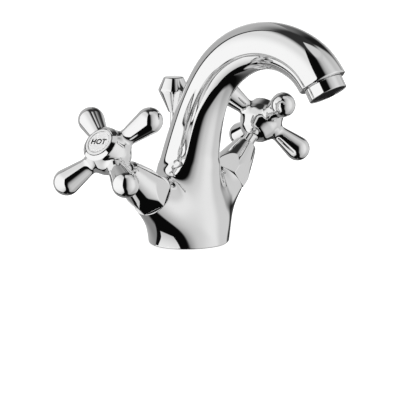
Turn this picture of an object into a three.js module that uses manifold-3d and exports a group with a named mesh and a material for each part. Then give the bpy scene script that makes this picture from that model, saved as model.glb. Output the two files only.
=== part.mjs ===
// Two-handle deck-mounted basin mixer with swan-neck spout and pop-up rod.
// Millimetres, +Z up, origin at the centre of the base on the deck plane, spout towards -Y, hot side at -X.
import * as THREE from 'three';
import { mergeVertices } from 'three/addons/utils/BufferGeometryUtils.js';
import Module from 'manifold-3d';

// ---------- driving dimensions ----------
const BASE_R = 24.3;              // foot of the body on the deck
const BASE_RECESS_R = 18.5;       // underside recess for the hose tails and the fixing stud
const BASE_RECESS_Z = 9.0;
const GASKET_R = [21.5, 23.5];    // base gasket, set in its groove
const GASKET_H = 2.2;
const HOSE_POS = [8.2, -3.0];     // hose sockets, mirrored left and right
const HOSE_R = 4.5;
const STUD_POS = [0, -12.0];      // fixing stud socket
const STUD_R = 3.4;

const AXIS_Z0 = 3.98;             // both handle axes start here on the centre line
const AXIS_TILT = 39.76;          // degrees above the horizontal
const BOSS_R = 13.3;              // round end of the valve boss
const BOSS_FACE = 48.3;           // distances s are measured along the handle axis
const VALVE_BORE_R = 8.5;
const VALVE_FLOOR = 24.0;

// spout centre line and radius: [y, z, r]
const SPOUT = [
  [1.39, 45.02, 18.92], [-1.90, 57.99, 18.04], [-5.20, 70.70, 16.85], [-8.89, 82.85, 15.71], [-13.36, 94.13, 14.93],
  [-18.98, 104.28, 14.76], [-25.89, 113.11, 14.88], [-34.16, 120.46, 14.96], [-43.57, 126.02, 14.87], [-53.85, 129.51, 14.62],
  [-64.68, 130.71, 14.42], [-75.67, 129.46, 14.44], [-86.16, 125.75, 14.63], [-95.45, 119.59, 14.83], [-102.79, 111.01, 14.90],
];
const SPOUT_END_TILT = 31.6;      // degrees from straight down towards -Y
const WATERWAY_R = 6.5;
const AERATOR_BORE_R = 11.35;

const ROD_Y = 12.3;               // pop-up rod axis
const ROD_R = 2.5;
const KNOB_BOTTOM = 82.8;
const KNOB_TOP = 105.4;

const HANDLE_ARM_S = 101.87;      // plane of the four arms
const ARM_REACH = 31.45;          // axis to centre of the ball end
const ARM_BALL_R = 8.27;
const ARM_ROOT_R = 4.6;
const HOT_ARM_PHASE = 0.89;
const COLD_ARM_PHASE = 0.96;
const HEX_R = 14.12;              // corner radius of the bonnet's hexagon foot
const HOT_HEX_PHASE = -0.38;
const COLD_HEX_PHASE = -0.56;

// blends of the casting
const BLEND_BOSS = 26.0;
const BLEND_SPOUT = 12.0;
const CELL = 5.7;                 // surface cell of the casting

const SHORTEST_EDGE = 0.03;

// ---------- materials ----------
const mat = (color, roughness, metalness) => new THREE.MeshStandardMaterial({ color, roughness, metalness });
const CHROME = () => mat(0xd8dadc, 0.06, 1.0);
const BRASS = () => mat(0xc9a55c, 0.35, 1.0);
const STEEL = () => mat(0x9a9c9e, 0.3, 1.0);
const RUBBER = () => mat(0x1a1a1b, 0.8, 0.0);
const CERAMIC = () => mat(0xf1efe8, 0.25, 0.0);
const PLASTIC = () => mat(0xd9dadb, 0.45, 0.0);

// ---------- solids ----------
const wasm = await Module();
wasm.setup();
const V3 = THREE.Vector3;

function solid(geometry) {
  let g = geometry.index ? geometry.toNonIndexed() : geometry.clone();
  for (const k of Object.keys(g.attributes)) if (k !== 'position') g.deleteAttribute(k);
  g = mergeVertices(g, 1e-3);
  const p = g.attributes.position.array;
  const idx = g.index.array;
  const tri = [];
  let vol = 0;
  for (let i = 0; i < idx.length; i += 3) {
    const [a, b, c] = [idx[i], idx[i + 1], idx[i + 2]];
    if (a === b || b === c || a === c) continue;
    tri.push(a, b, c);
    const A = new V3(p[3 * a], p[3 * a + 1], p[3 * a + 2]);
    const B = new V3(p[3 * b], p[3 * b + 1], p[3 * b + 2]);
    const C = new V3(p[3 * c], p[3 * c + 1], p[3 * c + 2]);
    vol += A.dot(B.cross(C));
  }
  if (vol < 0) for (let i = 0; i < tri.length; i += 3) [tri[i + 1], tri[i + 2]] = [tri[i + 2], tri[i + 1]];
  return new wasm.Manifold(new wasm.Mesh({ numProp: 3, vertProperties: new Float32Array(p), triVerts: new Uint32Array(tri) }));
}

// cuts leave a few very short edges: each is closed up to a point where its two ends share just two neighbours
function tidy(pos, tri, shortest) {
  const tris = [];
  for (let i = 0; i < tri.length; i += 3) tris.push([tri[i], tri[i + 1], tri[i + 2]]);
  const faces = Array.from({ length: pos.length / 3 }, () => new Set());
  tris.forEach((t, i) => t.forEach((v) => faces[v].add(i)));
  const around = (v) => {
    const n = new Set();
    for (const i of faces[v]) for (const w of tris[i]) if (w !== v) n.add(w);
    return n;
  };
  const len = (a, b) => Math.hypot(pos[3 * a] - pos[3 * b], pos[3 * a + 1] - pos[3 * b + 1], pos[3 * a + 2] - pos[3 * b + 2]);
  let again = true;
  while (again) {
    again = false;
    for (let i = 0; i < tris.length; i++) {
      for (let e = 0; e < 3 && tris[i]; e++) {
        const a = tris[i][e];
        const b = tris[i][(e + 1) % 3];
        if (len(a, b) > shortest) continue;
        const na = around(a);
        const shared = [...around(b)].filter((v) => na.has(v));
        if (shared.length !== 2) continue;
        for (const f of [...faces[b]]) {
          if (tris[f].includes(a)) {
            tris[f].forEach((v) => faces[v].delete(f));
            tris[f] = null;
          } else {
            tris[f] = tris[f].map((v) => (v === b ? a : v));
            faces[a].add(f);
          }
        }
        faces[b].clear();
        again = true;
      }
    }
  }
  return tris.filter(Boolean).flat();
}

function geometryOf(manifold, shortest = 0) {
  const m = manifold.getMesh();
  const n = m.numProp;
  const pos = new Float32Array(m.vertProperties.length / n * 3);
  for (let i = 0; i < pos.length / 3; i++) for (let k = 0; k < 3; k++) pos[3 * i + k] = m.vertProperties[n * i + k];
  const g = new THREE.BufferGeometry();
  g.setAttribute('position', new THREE.BufferAttribute(pos, 3));
  g.setIndex(shortest ? tidy(pos, m.triVerts, shortest) : new THREE.BufferAttribute(new Uint32Array(m.triVerts), 1));
  g.computeVertexNormals();
  return g;
}

// body of revolution about +Z from [r, z] points, closed on the axis or on itself
function turned(points, segments = 20, phase = 0) {
  const first = points[0];
  const last = points[points.length - 1];
  const pts = points.map(([r, z]) => new THREE.Vector2(r, z));
  if (!(first[0] === 0 && last[0] === 0)) pts.push(new THREE.Vector2(first[0], first[1]));
  const g = new THREE.LatheGeometry(pts, segments);
  g.rotateX(Math.PI / 2);
  if (phase) g.rotateZ(phase);
  return solid(g);
}
const ring = (r0, r1, z0, z1, segments = 20) => turned([[r0, z0], [r1, z0], [r1, z1], [r0, z1]], segments);
const rod = (r, z0, z1, segments = 20) => turned([[0, z0], [r, z0], [r, z1], [0, z1]], segments);

// straight bar of radius r between two points
function bar(a, b, r, segments = 12) {
  const A = new V3(...a);
  const d = new V3(...b).sub(A);
  const g = new THREE.CylinderGeometry(r, r, d.length(), segments);
  g.translate(0, d.length() / 2, 0);
  g.applyQuaternion(new THREE.Quaternion().setFromUnitVectors(new V3(0, 1, 0), d.clone().normalize()));
  g.translate(A.x, A.y, A.z);
  return solid(g);
}

function block(sx, sy, sz, x, y, z) {
  const g = new THREE.BoxGeometry(sx, sy, sz);
  g.translate(x, y, z);
  return solid(g);
}

// regular hexagonal prism about +Z
function hexagon(r, z0, z1, phase = 0) {
  const shape = new THREE.Shape();
  for (let i = 0; i < 6; i++) {
    const a = phase + i * Math.PI / 3;
    if (i) shape.lineTo(r * Math.cos(a), r * Math.sin(a)); else shape.moveTo(r * Math.cos(a), r * Math.sin(a));
  }
  shape.closePath();
  const g = new THREE.ExtrudeGeometry(shape, { depth: z1 - z0, bevelEnabled: false });
  g.translate(0, 0, z0);
  return solid(g);
}

const place = (manifold, matrix) => solid(geometryOf(manifold).applyMatrix4(matrix));

// ---------- frames of the two handle axes and of the spout's mouth ----------
function axisFrame(side) {
  const a = THREE.MathUtils.degToRad(AXIS_TILT);
  const n = new V3(side * Math.cos(a), 0, Math.sin(a));
  const x = new V3(0, 1, 0);
  const y = new V3().crossVectors(n, x);
  return new THREE.Matrix4().makeBasis(x, y, n).setPosition(0, 0, AXIS_Z0);
}
const HOT = axisFrame(-1);
const COLD = axisFrame(1);
const END = SPOUT[SPOUT.length - 1];
const tilt = THREE.MathUtils.degToRad(SPOUT_END_TILT);
const MOUTH_DIR = new V3(0, -Math.sin(tilt), -Math.cos(tilt));
const MOUTH = new THREE.Matrix4()
  .makeBasis(new V3(1, 0, 0), new V3().crossVectors(MOUTH_DIR, new V3(1, 0, 0)), MOUTH_DIR)
  .setPosition(0, END[0], END[1]);

// ---------- the casting as a blended field ----------
const spoutLine = (() => {
  const curve = new THREE.CatmullRomCurve3(SPOUT.map(([y, z, r]) => new V3(r, y, z)), false, 'catmullrom', 0.5);
  const pts = curve.getPoints(70).map((p) => [p.y, p.z, p.x]);
  const [p0, p1] = [pts[0], pts[1]];
  const l = Math.hypot(p1[0] - p0[0], p1[1] - p0[1]);
  const t = [(p1[0] - p0[0]) / l, (p1[1] - p0[1]) / l];
  pts.unshift([p0[0] - t[0] * 20, p0[1] - t[1] * 20, p0[2]]);
  pts.push([END[0] + MOUTH_DIR.y * 12, END[1] + MOUTH_DIR.z * 12, END[2]]);
  return pts;
})();

function spoutField(x, y, z) {
  let best = 1e9;
  for (let i = 0; i + 1 < spoutLine.length; i++) {
    const [ay, az, ar] = spoutLine[i];
    const [by, bz, br] = spoutLine[i + 1];
    const dy = by - ay;
    const dz = bz - az;
    let t = ((y - ay) * dy + (z - az) * dz) / (dy * dy + dz * dz);
    t = Math.max(0, Math.min(1, t));
    const d = Math.hypot(x, y - ay - t * dy, z - az - t * dz) - (ar + t * (br - ar));
    if (d < best) best = d;
  }
  return best;
}

const smoothMin = (a, b, k) => {
  const h = Math.max(k - Math.abs(a - b), 0) / k;
  return Math.min(a, b) - h * h * h * k / 6;
};
const smoothMax = (a, b, k) => -smoothMin(-a, -b, k);
const ramp = (v, a, b) => {
  const t = Math.max(0, Math.min(1, (v - a) / (b - a)));
  return t * t * (3 - 2 * t);
};

const ca = Math.cos(THREE.MathUtils.degToRad(AXIS_TILT));
const sa = Math.sin(THREE.MathUtils.degToRad(AXIS_TILT));
function bossField(side, x, y, z) {
  const px = x * side;
  const pz = z - AXIS_Z0;
  const s = px * ca + pz * sa;
  const v = -px * sa + pz * ca;
  const d = Math.hypot(y, v) - (BOSS_R + 0.05 * Math.max(0, BOSS_FACE - s));
  return Math.max(smoothMax(d, 6 - s, 6), s - BOSS_FACE - 9);
}
function trunkField(x, y, z) {
  const r = BASE_R - 6.0 * ramp(z, 12, 52);
  return smoothMax(Math.hypot(x, y) - r, z - 50, 6);
}
function castingField(x, y, z) {
  let f = smoothMin(bossField(-1, x, y, z), bossField(1, x, y, z), 14);
  f = smoothMin(f, trunkField(x, y, z), BLEND_BOSS);
  return Math.max(smoothMin(f, spoutField(x, y, z), BLEND_SPOUT), -9 - z);
}

// closed quad surface of a field by one vertex per crossed cell, drawn onto the surface
function surfaceOf(field, lo, hi, cell) {
  const n = lo.map((v, i) => Math.ceil((hi[i] - v) / cell));
  const [nx, ny, nz] = n;
  const at = (i, j, k) => (i * (ny + 1) + j) * (nz + 1) + k;
  const val = new Float64Array((nx + 1) * (ny + 1) * (nz + 1));
  for (let i = 0; i <= nx; i++) for (let j = 0; j <= ny; j++) for (let k = 0; k <= nz; k++)
    val[at(i, j, k)] = field(lo[0] + i * cell, lo[1] + j * cell, lo[2] + k * cell);
  const id = new Map();
  const verts = [];
  const key = (i, j, k) => (i * ny + j) * nz + k;
  const corners = [[0, 0, 0], [1, 0, 0], [0, 1, 0], [1, 1, 0], [0, 0, 1], [1, 0, 1], [0, 1, 1], [1, 1, 1]];
  const edges = [[0, 1], [2, 3], [4, 5], [6, 7], [0, 2], [1, 3], [4, 6], [5, 7], [0, 4], [1, 5], [2, 6], [3, 7]];
  for (let i = 0; i < nx; i++) for (let j = 0; j < ny; j++) for (let k = 0; k < nz; k++) {
    const v = corners.map(([a, b, c]) => val[at(i + a, j + b, k + c)]);
    const inside = v.filter((q) => q < 0).length;
    if (inside === 0 || inside === 8) continue;
    const s = [0, 0, 0];
    let m = 0;
    for (const [a, b] of edges) {
      if ((v[a] < 0) === (v[b] < 0)) continue;
      const t = v[a] / (v[a] - v[b]);
      for (let q = 0; q < 3; q++) s[q] += corners[a][q] + t * (corners[b][q] - corners[a][q]);
      m++;
    }
    id.set(key(i, j, k), verts.length);
    verts.push([lo[0] + (i + s[0] / m) * cell, lo[1] + (j + s[1] / m) * cell, lo[2] + (k + s[2] / m) * cell]);
  }
  const quads = [];
  const quad = (a, b, c, d, flip) => quads.push(flip ? [d, c, b, a] : [a, b, c, d]);
  for (let i = 0; i < nx; i++) for (let j = 0; j < ny; j++) for (let k = 0; k < nz; k++) {
    const v0 = val[at(i, j, k)] < 0;
    if (j > 0 && k > 0 && v0 !== (val[at(i + 1, j, k)] < 0))
      quad(id.get(key(i, j - 1, k - 1)), id.get(key(i, j, k - 1)), id.get(key(i, j, k)), id.get(key(i, j - 1, k)), !v0);
    if (i > 0 && k > 0 && v0 !== (val[at(i, j + 1, k)] < 0))
      quad(id.get(key(i - 1, j, k - 1)), id.get(key(i - 1, j, k)), id.get(key(i, j, k)), id.get(key(i, j, k - 1)), !v0);
    if (i > 0 && j > 0 && v0 !== (val[at(i, j, k + 1)] < 0))
      quad(id.get(key(i - 1, j - 1, k)), id.get(key(i, j - 1, k)), id.get(key(i, j, k)), id.get(key(i - 1, j, k)), !v0);
  }
  const near = verts.map(() => new Set());
  for (const q of quads) for (let e = 0; e < 4; e++) { near[q[e]].add(q[(e + 1) % 4]); near[q[(e + 1) % 4]].add(q[e]); }
  const h = 0.05;
  const grad = ([x, y, z]) => {
    const g = [field(x + h, y, z) - field(x - h, y, z), field(x, y + h, z) - field(x, y - h, z), field(x, y, z + h) - field(x, y, z - h)];
    return g.map((q) => q / (2 * h));
  };
  for (let round = 0; round < 10; round++) {
    const moved = verts.map((p, i) => {
      const c = [0, 0, 0];
      for (const j of near[i]) for (let q = 0; q < 3; q++) c[q] += verts[j][q] / near[i].size;
      return p.map((v, q) => v + 0.5 * (c[q] - v));
    });
    for (let i = 0; i < verts.length; i++) {
      let p = moved[i];
      for (let step = 0; step < 3; step++) {
        const g = grad(p);
        const f = field(...p) / Math.max(1e-6, g[0] * g[0] + g[1] * g[1] + g[2] * g[2]);
        p = p.map((v, q) => v - f * g[q]);
      }
      verts[i] = p;
    }
  }
  const tri = [];
  for (const [a, b, c, d] of quads) {
    const d1 = Math.hypot(...verts[a].map((v, q) => v - verts[c][q]));
    const d2 = Math.hypot(...verts[b].map((v, q) => v - verts[d][q]));
    if (d1 <= d2) tri.push(a, b, c, a, c, d); else tri.push(a, b, d, b, c, d);
  }
  const g = new THREE.BufferGeometry();
  g.setAttribute('position', new THREE.BufferAttribute(new Float32Array(verts.flat()), 3));
  g.setIndex(tri);
  return g;
}

// ---------- mixer body ----------
function mixerBody() {
  let b = solid(surfaceOf(castingField, [-10.5 * CELL, -128, -14], [10.5 * CELL, 36, 152], CELL));
  b = b.subtract(block(120, 120, 20, 0, 0, -10));
  for (const f of [HOT, COLD]) {
    b = b.subtract(place(rod(26, BOSS_FACE, BOSS_FACE + 26, 8), f));
    b = b.subtract(place(rod(VALVE_BORE_R, VALVE_FLOOR, BOSS_FACE + 1, 24), f));
  }
  b = b.subtract(place(rod(24, 0, 34, 8), MOUTH));
  // underside: recess, gasket groove, sockets
  b = b.subtract(rod(BASE_RECESS_R, -1, BASE_RECESS_Z, 28));
  b = b.subtract(ring(GASKET_R[0] - 0.3, GASKET_R[1] + 0.3, -1, GASKET_H + 0.3, 36));
  for (const side of [-1, 1]) {
    b = b.subtract(bar([side * HOSE_POS[0], HOSE_POS[1], BASE_RECESS_Z - 1], [side * HOSE_POS[0], HOSE_POS[1], 16], HOSE_R, 16));
    const floor = new V3(0, 0, VALVE_FLOOR + 1).applyMatrix4(side < 0 ? HOT : COLD);
    b = b.subtract(bar([side * (HOSE_POS[0] + 1), -1.5, 13.5], floor.toArray(), 3.0, 8));
    const gallery = new V3(0, 0, 32.5).applyMatrix4(side < 0 ? HOT : COLD);
    b = b.subtract(bar(gallery.toArray(), [0, -1.5, 38], 3.0, 8));
  }
  b = b.subtract(bar([STUD_POS[0], STUD_POS[1], BASE_RECESS_Z - 1], [STUD_POS[0], STUD_POS[1], 22], STUD_R, 12));
  // waterway along the spout
  const way = [[-2.0, 29], [-1.2, 42], [-2.6, 57]].map(([y, z]) => new V3(0, y, z));
  for (let i = 3; i < SPOUT.length - 1; i++) way.push(new V3(0, SPOUT[i][0], SPOUT[i][1]));
  way.push(new V3(0, END[0] + MOUTH_DIR.y, END[1] + MOUTH_DIR.z));
  const circle = new THREE.Shape();
  circle.absarc(0, 0, WATERWAY_R, 0, Math.PI * 2, false);
  b = b.subtract(solid(new THREE.ExtrudeGeometry(circle, {
    steps: 18, bevelEnabled: false, curveSegments: 6,
    extrudePath: new THREE.CatmullRomCurve3(way, false, 'catmullrom', 0.5),
  })));
  b = b.subtract(place(rod(AERATOR_BORE_R, -12, 1, 28), MOUTH));
  // pop-up rod passage: collar chamber, bush seat, exit hole
  b = b.subtract(bar([0, ROD_Y, BASE_RECESS_Z - 1], [0, ROD_Y, 31.5], 5.0, 14));
  b = b.subtract(bar([0, ROD_Y, 31], [0, ROD_Y, 56], 3.8, 14));
  b = b.subtract(bar([0, ROD_Y, 55], [0, ROD_Y, 92], 2.9, 14));
  return b;
}

// ---------- parts of one valve, in its axis frame ----------
function bonnet(phase) {
  const outer = turned([
    [0, 48.75], [15.8, 48.75], [13.9, 55.9], [12.6, 60.5], [9.85, 71.2], [8.0, 77.4], [7.3, 79.0], [5.6, 80.0], [0, 80.0],
  ], 36);
  const inner = turned([[0, 47], [10.6, 47], [10.6, 59.0], [8.1, 70.5], [6.4, 76.4], [4.8, 76.4], [4.8, 81], [0, 81]], 20);
  return outer.intersect(hexagon(HEX_R, 48.75, 82, phase)).subtract(inner);
}
function headworkBody(phase) {
  let b = turned([[0, 24.4], [8.2, 24.4], [8.2, 50.3], [9.0, 50.3], [9.0, 54.6], [7.4, 54.6], [7.4, 63.0], [6.9, 66.6], [0, 66.6]], 16);
  b = b.add(hexagon(9.75, 50.3, 54.6, phase));
  b = b.subtract(turned([[0, 23], [6.7, 23], [6.7, 38.6], [4.2, 38.6], [4.2, 68], [0, 68]], 16));
  b = b.subtract(block(20, 7.2, 4.6, 0, 0, 33.0));   // side windows for the water
  return b.subtract(ring(7.7, 9, 46.2, 48.2, 16));       // run-out of the thread
}
const headworkGasket = () => ring(8.6, 9.7, 48.6, 50.0);
const seatSeal = () => ring(4.2, 6.4, 24.2, 26.8);
// ceramic discs: each with two facing sector ports
function disc(z0, z1, r, phase) {
  let d = rod(r, z0, z1);
  for (const k of [0, Math.PI]) {
    const s = new THREE.Shape();
    const half = 0.62;
    s.absarc(0, 0, 4.9, phase + k - half, phase + k + half, false);
    s.absarc(0, 0, 1.7, phase + k + half, phase + k - half, true);
    s.closePath();
    const g = new THREE.ExtrudeGeometry(s, { depth: z1 - z0 + 2, bevelEnabled: false, curveSegments: 3 });
    g.translate(0, 0, z0 - 1);
    d = d.subtract(solid(g));
  }
  return d;
}
function spindle() {
  let s = turned([
    [0, 34.5], [6.4, 34.5], [6.4, 38.3], [4.0, 38.3], [4.0, 60.6], [2.95, 60.6], [2.95, 63.0], [4.0, 63.0], [4.0, 66.9],
    [2.8, 66.9], [2.8, 68.3], [3.3, 68.3], [3.3, 71.0], [2.8, 71.6], [2.8, 98.4], [2.4, 99.0], [0, 99.0],
  ], 14);
  const teeth = [];
  for (let i = 0; i < 6; i++) {
    const a = i * Math.PI / 3;
    const g = new THREE.BoxGeometry(0.8, 0.7, 12);
    g.translate(2.95, 0, 93.6);
    g.rotateZ(a);
    teeth.push(solid(g));
  }
  for (const t of teeth) s = s.subtract(t);
  s = s.subtract(block(6, 2.0, 3.2, 0, 5.3, 36.0)).subtract(block(6, 2.0, 3.2, 0, -5.3, 36.0));
  return s.subtract(rod(1.75, 88, 100, 10));
}
function oRing(major, minor, z) {
  const pts = [];
  for (let i = 0; i < 6; i++) pts.push([major + minor * Math.cos(i * Math.PI / 3), z + minor * Math.sin(i * Math.PI / 3)]);
  return turned(pts, 18);
}
function circlip() {
  const s = new THREE.Shape();
  s.absarc(0, 0, 5.0, 0.42, Math.PI * 2 - 0.42, false);
  s.absarc(0, 0, 3.0, Math.PI * 2 - 0.55, 0.55, true);
  s.closePath();
  const g = new THREE.ExtrudeGeometry(s, { depth: 0.9, bevelEnabled: false, curveSegments: 9 });
  g.translate(0, 0, 67.15);
  return solid(g);
}
function handle(phase) {
  let h = turned([
    [0, 78.2], [4.3, 78.2], [4.3, 86.6], [5.2, 87.6], [8.8, 89.6], [11.6, 93.4], [13.9, 97.0],
    [14.3, 100.2], [13.8, 104.4], [13.0, 109.0], [12.3, 110.6], [9.95, 112.3], [0, 112.3],
  ], 24);
  for (let i = 0; i < 4; i++) {
    const pts = [[0, 6.0], [ARM_ROOT_R - 0.15, 6.0], [ARM_ROOT_R, 11.5]];
    // straight taper tangent to the ball end
    const sn = (ARM_BALL_R - ARM_ROOT_R) / (ARM_REACH - 11.5);
    const a0 = Math.asin(Math.min(0.5, sn));
    for (let q = 0; q <= 5; q++) {
      const t = Math.PI / 2 + a0 - q / 5 * (Math.PI / 2 + a0);
      pts.push([q === 5 ? 0 : ARM_BALL_R * Math.sin(t), ARM_REACH + ARM_BALL_R * Math.cos(t)]);
    }
    const m = new THREE.Matrix4().makeTranslation(0, 0, HANDLE_ARM_S)
      .multiply(new THREE.Matrix4().makeRotationZ(phase + i * Math.PI / 2))
      .multiply(new THREE.Matrix4().makeRotationY(Math.PI / 2));
    h = h.add(place(turned(pts, 12), m));
  }
  h = h.subtract(turned([[0, 77], [3.1, 77], [3.1, 100.2], [2.0, 100.2], [2.0, 103.2], [6.8, 103.2], [6.8, 110], [0, 110]], 20));
  h = h.subtract(rod(9.45, 109.8, 114, 28));             // seat of the index button
  return h;
}
const handleScrew = () => turned([[0, 90.5], [1.45, 90.5], [1.45, 103.5], [4.0, 103.5], [4.0, 105.4], [3.2, 106.4], [0, 106.4]], 14)
  .subtract(block(9, 1.1, 1.6, 0, 0, 106.4));
function indexButton() {
  return turned([
    [0, 107.0], [6.5, 107.0], [6.5, 110.1], [9.1, 110.1], [9.1, 112.75], [8.8, 113.05],
    [7.45, 113.05], [7.45, 112.1], [0, 112.1],
  ], 28);
}
const indexDisc = () => rod(7.2, 112.25, 113.0, 28);

// ---------- spout mouth, in its own frame (+Z out of the mouth) ----------
const aeratorHousing = () => turned([
  [10.9, -8.8], [10.9, 0.35], [12.05, 0.35], [12.05, 7.0], [11.4, 7.7], [9.3, 7.7], [9.2, 6.1], [10.0, 6.1], [10.0, -8.8],
], 32);
function aeratorInsert() {
  let b = turned([[0, -8.6], [9.7, -8.6], [9.7, 3.4], [8.6, 3.4], [8.6, -6.6], [0, -6.6]], 20);
  for (let i = 0; i < 8; i++) {
    const a = i * Math.PI / 4;
    b = b.subtract(bar([6 * Math.cos(a), 6 * Math.sin(a), -10], [6 * Math.cos(a), 6 * Math.sin(a), -5], 1.3, 6));
  }
  return b;
}
function aeratorScreen() {
  let b = rod(9.7, 3.8, 5.7);
  const p = 4.2;
  for (let i = -2; i <= 2; i++) for (let j = -2; j <= 2; j++) {
    const x = p * (i + j / 2);
    const y = p * j * Math.sqrt(3) / 2;
    if (Math.hypot(x, y) > 7.6) continue;
    b = b.subtract(bar([x, y, 3], [x, y, 7], 1.35, 6));
  }
  return b;
}
const aeratorWasher = () => ring(7.6, 10.9, -11.4, -9.2);

// ---------- pop-up ----------
const pullKnob = () => turned([
  [0, KNOB_BOTTOM], [3.4, KNOB_BOTTOM], [9.3, 95.5], [9.9, 97.0], [9.5, 98.3],
  [6.5, KNOB_TOP - 0.5], [5.8, KNOB_TOP], [0, KNOB_TOP],
], 28).subtract(rod(2.65, 80, 96, 14));
const pullRod = () => rod(ROD_R, 3.0, 95.7, 14);
const rodCollar = () => ring(2.65, 4.6, 4.5, 8.0, 14);
const rodBush = () => ring(2.65, 3.6, 31.9, 54.7, 14);

// ---------- assembly ----------
const mixer = new THREE.Group();
const addTo = (group, name, manifold, material) => {
  const mesh = new THREE.Mesh(geometryOf(manifold, SHORTEST_EDGE), material);
  mesh.name = name;
  group.add(mesh);
  return mesh;
};
addTo(mixer, 'mixer_body', mixerBody(), CHROME());
addTo(mixer, 'base_gasket', ring(GASKET_R[0], GASKET_R[1], 0, GASKET_H, 36), RUBBER());

const mouth = new THREE.Group();
mouth.applyMatrix4(MOUTH);
mixer.add(mouth);
addTo(mouth, 'aerator_housing', aeratorHousing(), CHROME());
addTo(mouth, 'aerator_insert', aeratorInsert(), PLASTIC());
addTo(mouth, 'aerator_screen', aeratorScreen(), PLASTIC());
addTo(mouth, 'aerator_washer', aeratorWasher(), RUBBER());

const popUp = new THREE.Group();
popUp.position.set(0, ROD_Y, 0);
mixer.add(popUp);
addTo(popUp, 'pull_knob', pullKnob(), CHROME());
addTo(popUp, 'pull_rod', pullRod(), CHROME());
addTo(popUp, 'rod_collar', rodCollar(), BRASS());
addTo(popUp, 'rod_bush', rodBush(), PLASTIC());

for (const [side, frame, armPhase, hexPhase] of [['hot', HOT, HOT_ARM_PHASE, HOT_HEX_PHASE], ['cold', COLD, COLD_ARM_PHASE, COLD_HEX_PHASE]]) {
  const valve = new THREE.Group();
  valve.applyMatrix4(frame);
  mixer.add(valve);
  addTo(valve, `${side}_bonnet`, bonnet(hexPhase), CHROME());
  addTo(valve, `${side}_headwork_body`, headworkBody(hexPhase), BRASS());
  addTo(valve, `${side}_headwork_gasket`, headworkGasket(), RUBBER());
  addTo(valve, `${side}_seat_seal`, seatSeal(), RUBBER());
  addTo(valve, `${side}_fixed_disc`, disc(27.1, 30.3, 6.4, 0), CERAMIC());
  addTo(valve, `${side}_moving_disc`, disc(30.6, 34.2, 6.35, Math.PI / 2), CERAMIC());
  addTo(valve, `${side}_spindle`, spindle(), BRASS());
  addTo(valve, `${side}_spindle_oring`, oRing(3.62, 0.5, 61.8), RUBBER());
  addTo(valve, `${side}_circlip`, circlip(), STEEL());
  addTo(valve, `${side}_handle`, handle(armPhase), CHROME());
  addTo(valve, `${side}_handle_screw`, handleScrew(), STEEL());
  addTo(valve, `${side}_index_button`, indexButton(), CHROME());
  addTo(valve, `${side}_index_disc`, indexDisc(), PLASTIC());
}

export default mixer;
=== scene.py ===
"""Looks of the two-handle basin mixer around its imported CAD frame."""
import math

import bmesh
import bpy
import numpy as np
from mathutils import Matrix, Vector


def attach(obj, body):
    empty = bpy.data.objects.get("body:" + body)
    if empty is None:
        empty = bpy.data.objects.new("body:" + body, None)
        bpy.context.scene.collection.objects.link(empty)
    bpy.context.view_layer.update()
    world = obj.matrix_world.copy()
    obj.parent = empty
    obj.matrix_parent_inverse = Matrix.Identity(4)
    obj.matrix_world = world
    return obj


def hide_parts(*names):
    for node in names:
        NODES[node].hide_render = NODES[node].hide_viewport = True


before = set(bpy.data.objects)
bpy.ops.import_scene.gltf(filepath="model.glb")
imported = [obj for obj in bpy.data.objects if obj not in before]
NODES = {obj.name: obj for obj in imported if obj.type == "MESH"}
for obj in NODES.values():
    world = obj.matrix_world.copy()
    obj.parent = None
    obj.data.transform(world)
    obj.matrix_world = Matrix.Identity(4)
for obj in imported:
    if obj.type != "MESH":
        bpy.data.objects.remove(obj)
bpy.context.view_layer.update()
MM = 0.001

# ---------------------------------------------------------------- shapes, in millimetres, in the row frame
SPOUT = np.array([
    [1.39, 45.02, 18.92], [-1.90, 57.99, 18.04], [-5.20, 70.70, 16.85], [-8.89, 82.85, 15.71], [-13.36, 94.13, 14.93],
    [-18.98, 104.28, 14.76], [-25.89, 113.11, 14.88], [-34.16, 120.46, 14.96], [-43.57, 126.02, 14.87], [-53.85, 129.51, 14.62],
    [-64.68, 130.71, 14.42], [-75.67, 129.46, 14.44], [-86.16, 125.75, 14.63], [-95.45, 119.59, 14.83], [-102.79, 111.01, 14.90]])
BASE_R, BOSS_R, BOSS_FACE = 24.3, 13.3, 48.3
AXIS_Z0, AXIS_TILT = 3.98, math.radians(39.76)
BLEND_BOSSES, BLEND_BOSS, BLEND_SPOUT = 14.0, 26.0, 12.0
MOUTH_TILT = math.radians(31.6)
MOUTH_DIR = np.array([0.0, -math.sin(MOUTH_TILT), -math.cos(MOUTH_TILT)])
MOUTH_AT = np.array([0.0, SPOUT[-1, 0], SPOUT[-1, 1]])
ROD_Y, KNOB_BOTTOM, KNOB_TOP = 12.3, 82.8, 105.4
ARM_S, ARM_REACH, ARM_BALL_R, ARM_ROOT_R = 101.87, 31.45, 8.27, 4.45
ARM_PHASE = {"hot": 0.89, "cold": 0.96}
HEX_R = 14.12
HEX_PHASE = {"hot": -0.38, "cold": -0.56}
CA, SA = math.cos(AXIS_TILT), math.sin(AXIS_TILT)


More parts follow.
